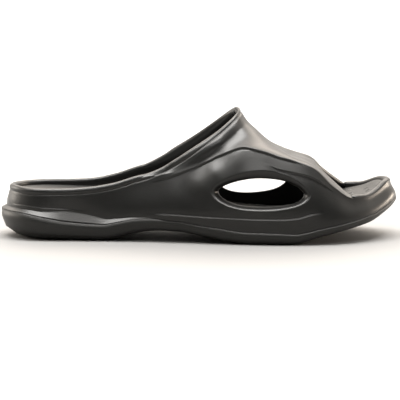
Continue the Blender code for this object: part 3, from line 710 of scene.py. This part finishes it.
def body_side(skin, side):
    """One side of the hollow body: walls, strap, side hole, rims, recess and underside."""
    along = rib_places()
    sign = SIDES[side]
    first = int(np.argmin(np.abs(along - COLLAR_RIB)))
    last = int(np.argmin(np.abs(along - FRONT_RIB)))
    strap = slice(first, last + 1)
    ends = recess_ends()

    # Outer wall in two sheets that part at the side hole
    p0, p1, p2, p3 = wall_curve(along, side)
    middle = wall_line("middle", along)
    half = hole_half(along, side)
    joint_row = lift(outline(along, side)[0], joint_height(along) + FIT_GAP)
    heights = (
        wall_line("crease", along) - CREASE_EDGE,
        wall_line("crease", along) + CREASE_EDGE,
        middle - half,
        middle + half,
        wall_line("brow", along) - CREASE_EDGE,
        wall_line("brow", along) + CREASE_EDGE,
        p3[:, 2] - 2.0 * CREASE_EDGE,
    )
    below, above, low, high, brow_low, brow_high, near_top = (
        reach_height(p0, p1, p2, p3, height) for height in heights)
    shares = between(0 * low, below, ROWS["foot"]) + between(above, low, ROWS["below_hole"])
    split = len(shares)
    shares += between(high, brow_low, ROWS["above_hole"]) + between(brow_high, near_top, ROWS["brow"])
    shares += [0 * high + 1.0]
    wall_rows = raise_creases([bezier(p0, p1, p2, p3, t) for t in shares], along, side)
    low_rows = wall_rows[:split]
    high_rows = wall_rows[split:]
    solid = half <= 0.0
    high_rows[0][solid] = low_rows[-1][solid]
    slope = low_rows[0] - joint_row
    skin.sheet([joint_row, joint_row + SHELF_EDGE * slope, low_rows[0] - SHELF_EDGE * slope] + low_rows)
    skin.sheet(high_rows)

    # Outer roof of the strap
    q0, q1, q2, q3 = strap_curve(along[strap], side, p3[strap])
    roof = [bezier(q0, q1, q2, q3, np.full(len(q0), share)) for share in between(0.0, 1.0, ROWS["roof"])]
    raised = raise_roof(roof, along[strap], side)
    raised[0] = high_rows[-1][strap]
    skin.sheet(raised)

    # Wall directions for the thickness
    wall_end = unit(p3 - p2)
    rim_way = np.gradient(p3, axis=0)
    rim_way[0] = (0.0, sign, 0.0)
    rim_way[-1] = (0.0, -sign, 0.0)
    normal = unit(np.cross(wall_end, rim_way)) * sign
    grid = np.stack(roof)
    roof_normal = roof_directions(grid, sign)
    off_corner = np.linalg.norm(grid - grid[0, 0], axis=2, keepdims=True)
    blend = np.clip(off_corner / CORNER_REACH, 0.0, 1.0)
    roof_normal = unit(normal[first] + (roof_normal - normal[first]) * blend)
    joined = unit(normal[strap] + roof_normal[0])
    normal[strap] = joined
    roof_normal[0] = joined
    inner_roof = list(grid - WALL * roof_normal)
    skin.sheet(inner_roof)

    # Inner wall, from the inner top down to the foot of the recess
    r3 = p3 - WALL * normal
    foot = recess_foot(along, side)
    floor_z = footbed_height(foot[:, 0], np.ones(len(along)), ends, side) - FOOTBED_THICKNESS - FIT_GAP
    r0 = lift(foot, floor_z)
    drop = np.maximum((r3 - r0)[:, 2:], FIT_GAP)
    r1 = r0 + UP * FOOT_HANDLE * drop
    r2 = r3 - wall_end * TOP_HANDLE * drop
    lowest = floor_z + FOOTBED_THICKNESS + 2.0 * FIT_GAP
    highest = r0[:, 2] + LIP_CEILING * drop[:, 0]
    open_share = 2.0 * half / HOLE_HEIGHT
    lip_low = np.clip(middle - half + LOWER_LIP * open_share, lowest, highest)
    lip_high = np.clip(middle + half - UPPER_LIP * open_share, lowest, highest)
    in_low = reach_height(r0, r1, r2, r3, lip_low)
    in_high = reach_height(r0, r1, r2, r3, lip_high)
    in_high = np.where(half > 0.0, np.maximum(in_high, in_low + LIP_OPENING), in_low)
    shift = np.column_stack((end_shift(along, side), np.zeros(len(along)), np.zeros(len(along))))
    inner_low = []
    for k, t in enumerate(between(0 * in_low, in_low, ROWS["inner_low"])):
        inner_low.append(bezier(r0, r1, r2, r3, t) + shift * k / ROWS["inner_low"])
    inner_high = []
    for k, t in enumerate(between(in_high, 0 * in_high + 1.0, ROWS["inner_high"])):
        inner_high.append(bezier(r0, r1, r2, r3, t) + shift * (1.0 - k / ROWS["inner_high"]))
    skin.sheet(inner_low)
    skin.sheet(inner_high)

    # Lips of the side hole
    back = int(np.argmin(np.abs(along - HOLES[side][0])))
    front = int(np.argmin(np.abs(along - HOLES[side][1])))
    hole = slice(back, front + 1)
    outward = np.column_stack((outline(along, side)[1], np.zeros(len(along))))[hole]
    skin.sheet(rounded_lip(low_rows[-1][hole], inner_low[-1][hole], outward))
    skin.sheet(rounded_lip(high_rows[0][hole], inner_high[0][hole], outward))

    # Round top of the collar, from heel to strap, and of the open toe
    top_row = high_rows[-1]
    back_out = np.concatenate((top_row[:first + 1], roof_column(raised, 0)))
    back_in = np.concatenate((r3[:first + 1], roof_column(inner_roof, 0)))
    toe_out = np.concatenate((top_row[last:][::-1], roof_column(raised, -1)))
    toe_in = np.concatenate((r3[last:][::-1], roof_column(inner_roof, -1)))
    for outer_edge, inner_edge in ((back_out, back_in), (toe_out, toe_in)):
        skin.sheet(rounded_rim(outer_edge, inner_edge))

    # Floor of the recess and underside
    def floor_height(x, across):
        return footbed_height(x, across, ends, side) - FOOTBED_THICKNESS - FIT_GAP
    skin.sheet(to_spine(r0, ACROSS, floor_height))
    skin.sheet(to_spine(joint_row, (0.0, 0.5, 1.0), lambda x, across: joint_height(x / LENGTH) + FIT_GAP))


def roof_column(rows, rib):
    """Points of one rib of the strap, without the row that it shares with the wall."""
    return np.stack([row[rib] for row in rows[1:]])


def rounded_rim(outer_edge, inner_edge):
    """Half round strip that joins the outer and inner edges of an opening."""
    centre = 0.5 * (outer_edge + inner_edge)
    across = outer_edge - centre
    run = np.gradient(centre, axis=0)
    run[0] = (0.0, run[0, 1], 0.0)
    run[-1] = (0.0, run[-1, 1], 0.0)
    lift_way = unit(np.cross(across, run))
    if lift_way[0, 2] < 0.0:
        lift_way = -lift_way
    radius = np.linalg.norm(across, axis=1, keepdims=True)
    rows = []
    for angle in between(0.0, np.pi, ROWS["rim"]):
        rows.append(centre + across * np.cos(angle) + lift_way * radius * np.sin(angle))
    rows[0] = outer_edge
    rows[-1] = inner_edge
    return rows


def tread_grooves():
    """Middles of the cross grooves, as shares of the length."""
    middles = []
    for start, count in TREAD_FIELDS:
        middles.extend(start + TREAD_PITCH * k for k in range(count))
    return middles


def groove_depth(along):
    """Depth of the tread at a place along the sole."""
    depth = np.zeros(len(along))
    for middle in tread_grooves():
        off = LENGTH * np.abs(along - middle)
        depth = np.maximum(depth, np.clip((0.5 * TREAD_WIDTH + TREAD_SLOPE - off) / TREAD_SLOPE, 0.0, 1.0))
    return TREAD_DEPTH * depth


def tread_ribs(along):
    """The ribs with two more at each edge of each groove."""
    half = 0.5 * TREAD_WIDTH / LENGTH
    slope = TREAD_SLOPE / LENGTH
    extra = [middle + off for middle in tread_grooves() for off in (-half - slope, -half, half, half + slope)]
    kept = [place for place in along if min(abs(place - e) for e in extra) > RIB_SPACE * slope]
    return np.array(sorted(kept + extra))


def sole_side(skin, side):
    """One side of the tread sole, with its grooves and its flat cover."""
    along = rib_places()
    plan, _ = outline(along, side)
    top = joint_height(along)
    reach_in = RIM_HEIGHT * through(SOLE, SOLE_COLUMNS, "round_in_of_rim", along)
    rise = SOLE_ROUND * (top - underside(along))
    edge = []
    for angle in between(0.0, 0.5 * np.pi, ROWS["sole_round"]):
        inset = reach_in * (1.0 - np.sin(angle))
        row = outline(along, side, inset)[0]
        edge.append(lift(row, underside(row[:, 0] / LENGTH) + rise * (1.0 - np.cos(angle))))
    corner = lift(plan, top)
    bottom = to_spine(edge[0], (1.0, 0.5, 0.0), lambda x, across: underside(x / LENGTH))
    cover = to_spine(corner, (0.0, 1.0), lambda x, across: joint_height(x / LENGTH))
    ribs = tread_ribs(along)

    def at_ribs(row):
        return np.column_stack([np.interp(ribs, along, row[:, axis]) for axis in range(3)])
    bottom = [at_ribs(row) for row in bottom]
    way = bottom[0] - bottom[-1]
    span = np.linalg.norm(way, axis=1, keepdims=True)
    margin = bottom[-1] + unit(way) * np.minimum(TREAD_MARGIN, MARGIN_LIMIT * span)
    near_reach = np.minimum(TREAD_MARGIN + TREAD_SLOPE, NEAR_MARGIN_LIMIT * span)
    near_margin = bottom[-1] + unit(way) * near_reach
    depth = groove_depth(ribs)
    for row in (bottom[0], bottom[1], near_margin):
        row[:, 2] += depth
    skin.sheet([bottom[0], bottom[1], near_margin, margin, bottom[2]])
    skin.sheet([at_ribs(row) for row in edge + [corner]])
    skin.sheet([at_ribs(row) for row in cover])


def footbed_side(skin, side):
    """One side of the footbed, from its underside round its edge to its top."""
    along = rib_places()
    ends = recess_ends()
    inset = WALL * through(RECESS, RECESS_COLUMNS, "in_of_wall", along)
    low_edge = lift(outline(along, side, inset + FIT_GAP)[0], 0.0)
    top_edge = lift(outline(along, side, inset + FOOTBED_TOP_GAPS * FIT_GAP)[0], 0.0)

    def top_height(x, across):
        return footbed_height(x, across, ends, side)

    def bottom_height(x, across):
        return footbed_height(x, across, ends, side) - FOOTBED_THICKNESS
    bottom = to_spine(low_edge, ACROSS, bottom_height)
    top = to_spine(top_edge, ACROSS, top_height)
    skin.sheet(bottom[::-1] + top)


# Massage nubs of the footbed
NUB_PITCH = 0.0125
NUB_RADIUS = 0.0026
NUB_HEIGHT = 0.0011
NUB_INSET = 0.0075

# Nubs: how deep their rims lie, power of their round, rings, points round a ring, row spacing
NUB_SINK = 0.00015
NUB_ROUND = 1.3
NUB_RINGS = 5
NUB_TURNS = 17
NUB_ROW_SHARE = 0.866


def make_nubs(material):
    """Low domes in a staggered field over the footbed."""
    ends = recess_ends()
    along = rib_places()
    edges = {side: recess_foot(along, side) for side in SIDES}
    skin = Skin("footbed_nubs")
    turns = np.linspace(0.0, 2.0 * np.pi, NUB_TURNS)
    row = 0
    x = ends[0] + NUB_INSET
    while x < ends[1] - NUB_INSET:
        reach = {side: np.interp(x, edges[side][:, 0], edges[side][:, 1]) for side in SIDES}
        low = reach["outer"] + NUB_INSET
        high = reach["inner"] - NUB_INSET
        middle = centre_line(x / LENGTH)
        start = middle + (0.5 * NUB_PITCH if row % 2 else 0.0)
        count = int((high - low) / NUB_PITCH) + 2
        for k in range(-count, count + 1):
            y = float(start + k * NUB_PITCH)
            if low < y < high:
                side = "inner" if y > middle else "outer"
                rings = []
                for share in between(0.0, 1.0, NUB_RINGS):
                    ring_x = x + NUB_RADIUS * share * np.cos(turns)
                    ring_y = y + NUB_RADIUS * share * np.sin(turns)
                    half = np.where(ring_y > middle, reach["inner"] - middle, middle - reach["outer"])
                    across = np.clip(np.abs(ring_y - middle) / half, 0.0, 1.0)
                    rise = NUB_HEIGHT * np.cos(0.5 * np.pi * share)**NUB_ROUND - NUB_SINK
                    ring_z = footbed_height(ring_x, across, ends, side) + rise
                    rings.append(np.column_stack((ring_x, ring_y, ring_z)))
                skin.sheet(rings)
        x += NUB_ROW_SHARE * NUB_PITCH
        row += 1
    return skin.finish(material)


# Foams: colour, roughness, strength of the grain and its size in metres
FOAMS = {
    "footbed_foam": ((0.014, 0.014, 0.013), 0.50, 0.90, 0.0014),
    "body_foam": ((0.010, 0.010, 0.0095), 0.33, 0.25, 0.0005),
    "tread_foam": ((0.012, 0.012, 0.011), 0.42, 0.30, 0.0006),
}
FOAM_IOR = 1.43
FOAM_SHEEN = (1.0, 0.98, 0.95, 1.0)
CLOUD_SCALE = 38.0
CLOUD_DETAIL = 4.0
CLOUD_DARK = 0.82
CLOUD_BRIGHT = 1.22
CLOUD_SMOOTHER = 0.05
CLOUD_ROUGHER = 0.06
GRAIN_DETAIL = 3.0
GRAIN_RISE = 0.0002


def foam_material(name, colour, roughness, grain, grain_size):
    """Black moulded foam: satin skin with a fine grain and faint cloudy wear."""
    material = bpy.data.materials.new(name)
    material.use_nodes = True
    nodes = material.node_tree.nodes
    links = material.node_tree.links
    shader = nodes["Principled BSDF"]
    shader.inputs["IOR"].default_value = FOAM_IOR
    shader.inputs["Specular Tint"].default_value = FOAM_SHEEN
    place = nodes.new("ShaderNodeTexCoord")
    cloud = nodes.new("ShaderNodeTexNoise")
    cloud.inputs["Scale"].default_value = CLOUD_SCALE
    cloud.inputs["Detail"].default_value = CLOUD_DETAIL
    links.new(place.outputs["Object"], cloud.inputs["Vector"])
    tint = nodes.new("ShaderNodeMixRGB")
    tint.inputs[1].default_value = (*[CLOUD_DARK * c for c in colour], 1.0)
    tint.inputs[2].default_value = (*[CLOUD_BRIGHT * c for c in colour], 1.0)
    links.new(cloud.outputs["Fac"], tint.inputs[0])
    links.new(tint.outputs[0], shader.inputs["Base Color"])
    gloss = nodes.new("ShaderNodeMapRange")
    gloss.inputs["To Min"].default_value = roughness - CLOUD_SMOOTHER
    gloss.inputs["To Max"].default_value = roughness + CLOUD_ROUGHER
    links.new(cloud.outputs["Fac"], gloss.inputs["Value"])
    links.new(gloss.outputs["Result"], shader.inputs["Roughness"])
    fine = nodes.new("ShaderNodeTexNoise")
    fine.inputs["Scale"].default_value = 1.0 / grain_size
    fine.inputs["Detail"].default_value = GRAIN_DETAIL
    links.new(place.outputs["Object"], fine.inputs["Vector"])
    bump = nodes.new("ShaderNodeBump")
    bump.inputs["Strength"].default_value = grain
    bump.inputs["Distance"].default_value = GRAIN_RISE
    links.new(fine.outputs["Fac"], bump.inputs["Height"])
    links.new(bump.outputs["Normal"], shader.inputs["Normal"])
    return material


def make_pieces():
    """The dressed pieces, each in place of its plain solid, and the nubs."""
    body = Skin("body_skin")
    sole = Skin("sole_skin")
    bed = Skin("footbed_skin")
    for side in SIDES:
        body_side(body, side)
        sole_side(sole, side)
        footbed_side(bed, side)
    foams = {name: foam_material(name, *values) for name, values in FOAMS.items()}
    looks = (
        (body, "moulded_body", "body", foams["body_foam"]),
        (sole, "tread_sole", "tread", foams["tread_foam"]),
        (bed, "footbed", "footbed", foams["footbed_foam"]),
    )
    for skin, node, slot, material in looks:
        piece = skin.finish(material)
        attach(piece, "root")
        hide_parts(node)
    nubs = make_nubs(foams["footbed_foam"])
    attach(nubs, "root")


# Floor: half its width, how far it lies under the sole, roughness, and the grey of a painted
# shadow round the shoe that turns paler at the half axes of an oval. Far off, in the same half
# axes, it glows.
FLOOR_REACH = 6.0
FLOOR_DROP = 0.0002
FLOOR_ROUGHNESS = 0.7
# Grey of the painted shadow next to the shoe
FLOOR_PAINTED_SHADOW = (0.165, 0.16, 0.154, 1.0)
FLOOR_PALE = (0.35, 0.35, 0.346, 1.0)
FLOOR_OVAL = (0.50, 0.40)
GLOW_START = 1.2
GLOW_END = 3.0
GLOW_COLOUR = (1.0, 1.0, 1.0, 1.0)


def make_stage():
    """Pale floor, with a painted shadow round the shoe."""
    mesh = bpy.data.meshes.new("floor")
    reach = FLOOR_REACH
    corners = [(-reach, -reach, 0.0), (reach, -reach, 0.0), (reach, reach, 0.0), (-reach, reach, 0.0)]
    mesh.from_pydata(corners, [], [(0, 1, 2, 3)])
    material = bpy.data.materials.new("floor")
    material.use_nodes = True
    nodes = material.node_tree.nodes
    links = material.node_tree.links
    shader = nodes["Principled BSDF"]
    shader.inputs["Roughness"].default_value = FLOOR_ROUGHNESS
    place = nodes.new("ShaderNodeTexCoord")
    squash = nodes.new("ShaderNodeMapping")
    squash.inputs["Scale"].default_value = (1.0 / FLOOR_OVAL[0], 1.0 / FLOOR_OVAL[1], 1.0)
    links.new(place.outputs["Object"], squash.inputs["Vector"])
    length = nodes.new("ShaderNodeVectorMath")
    length.operation = "LENGTH"
    links.new(squash.outputs["Vector"], length.inputs[0])
    ramp = nodes.new("ShaderNodeMapRange")
    ramp.interpolation_type = "SMOOTHSTEP"
    links.new(length.outputs["Value"], ramp.inputs["Value"])
    # Painted shadow: darker grey near the shoe, paler further off
    paint = nodes.new("ShaderNodeMixRGB")
    paint.inputs[1].default_value = FLOOR_PAINTED_SHADOW
    paint.inputs[2].default_value = FLOOR_PALE
    links.new(ramp.outputs["Result"], paint.inputs[0])
    links.new(paint.outputs[0], shader.inputs["Base Color"])
    far = nodes.new("ShaderNodeMapRange")
    far.interpolation_type = "SMOOTHSTEP"
    far.inputs["From Min"].default_value = GLOW_START
    far.inputs["From Max"].default_value = GLOW_END
    links.new(length.outputs["Value"], far.inputs["Value"])
    shader.inputs["Emission Color"].default_value = GLOW_COLOUR
    links.new(far.outputs["Result"], shader.inputs["Emission Strength"])
    mesh.materials.append(material)
    floor = bpy.data.objects.new("floor", mesh)
    floor.location.z = -FLOOR_DROP
    bpy.context.collection.objects.link(floor)


# World: dim in front and bright behind, with the stretch of Y where it turns
WORLD_FRONT = 0.03
WORLD_BACK = 1.25
WORLD_TURN = (-0.75, 0.15)
WORLD_COLOUR = (1.0, 0.94, 0.87, 1.0)

# Lights: name, place, aim, width, height, power in watts, colour
LIGHTS = (
    ("top", (0.0, 0.01, 1.2), (0.0, 0.0, 0.0), 1.5, 0.6, 47.0, (1.0, 1.0, 1.0)),
    ("front_top", (0.0, -1.0, 1.1), (0.0, 0.0, 0.06), 0.35, 0.30, 5.2, (1.0, 1.0, 1.0)),
    ("back_top", (0.1, 0.9, 0.9), (0.0, 0.0, 0.05), 1.8, 0.7, 17.0, (1.0, 0.90, 0.80)),
    ("heel_side", (-1.0, 0.35, 0.35), (-0.1, 0.0, 0.03), 0.6, 0.5, 5.0, (1.0, 0.93, 0.84)),
    ("toe_side", (1.1, 0.45, 0.16), (0.14, 0.0, 0.0), 0.5, 0.20, 6.0, (1.0, 0.86, 0.72)),
)


def area_light(name, place, aim, width, height, power, colour):
    """Rectangular light that faces its aim."""
    data = bpy.data.lights.new(name, "AREA")
    data.shape = "RECTANGLE"
    data.size = width
    data.size_y = height
    data.energy = power
    data.color = colour
    light = bpy.data.objects.new(name, data)
    light.location = place
    light.rotation_euler = (Vector(place) - Vector(aim)).to_track_quat("Z", "Y").to_euler()
    bpy.context.collection.objects.link(light)


def make_lights():
    """World and studio lights."""
    scene = bpy.context.scene
    scene.view_settings.view_transform = "Standard"
    world = bpy.data.worlds.new("studio")
    world.use_nodes = True
    nodes = world.node_tree.nodes
    links = world.node_tree.links
    place = nodes.new("ShaderNodeTexCoord")
    axes = nodes.new("ShaderNodeSeparateXYZ")
    links.new(place.outputs["Generated"], axes.inputs[0])
    front = nodes.new("ShaderNodeMapRange")
    front.interpolation_type = "SMOOTHSTEP"
    front.inputs["From Min"].default_value = WORLD_TURN[0]
    front.inputs["From Max"].default_value = WORLD_TURN[1]
    front.inputs["To Min"].default_value = WORLD_FRONT
    front.inputs["To Max"].default_value = WORLD_BACK
    links.new(axes.outputs["Y"], front.inputs["Value"])
    background = nodes["Background"]
    background.inputs["Color"].default_value = WORLD_COLOUR
    links.new(front.outputs["Result"], background.inputs["Strength"])
    scene.world = world
    for light in LIGHTS:
        area_light(*light)


make_stage()
make_lights()
make_pieces()
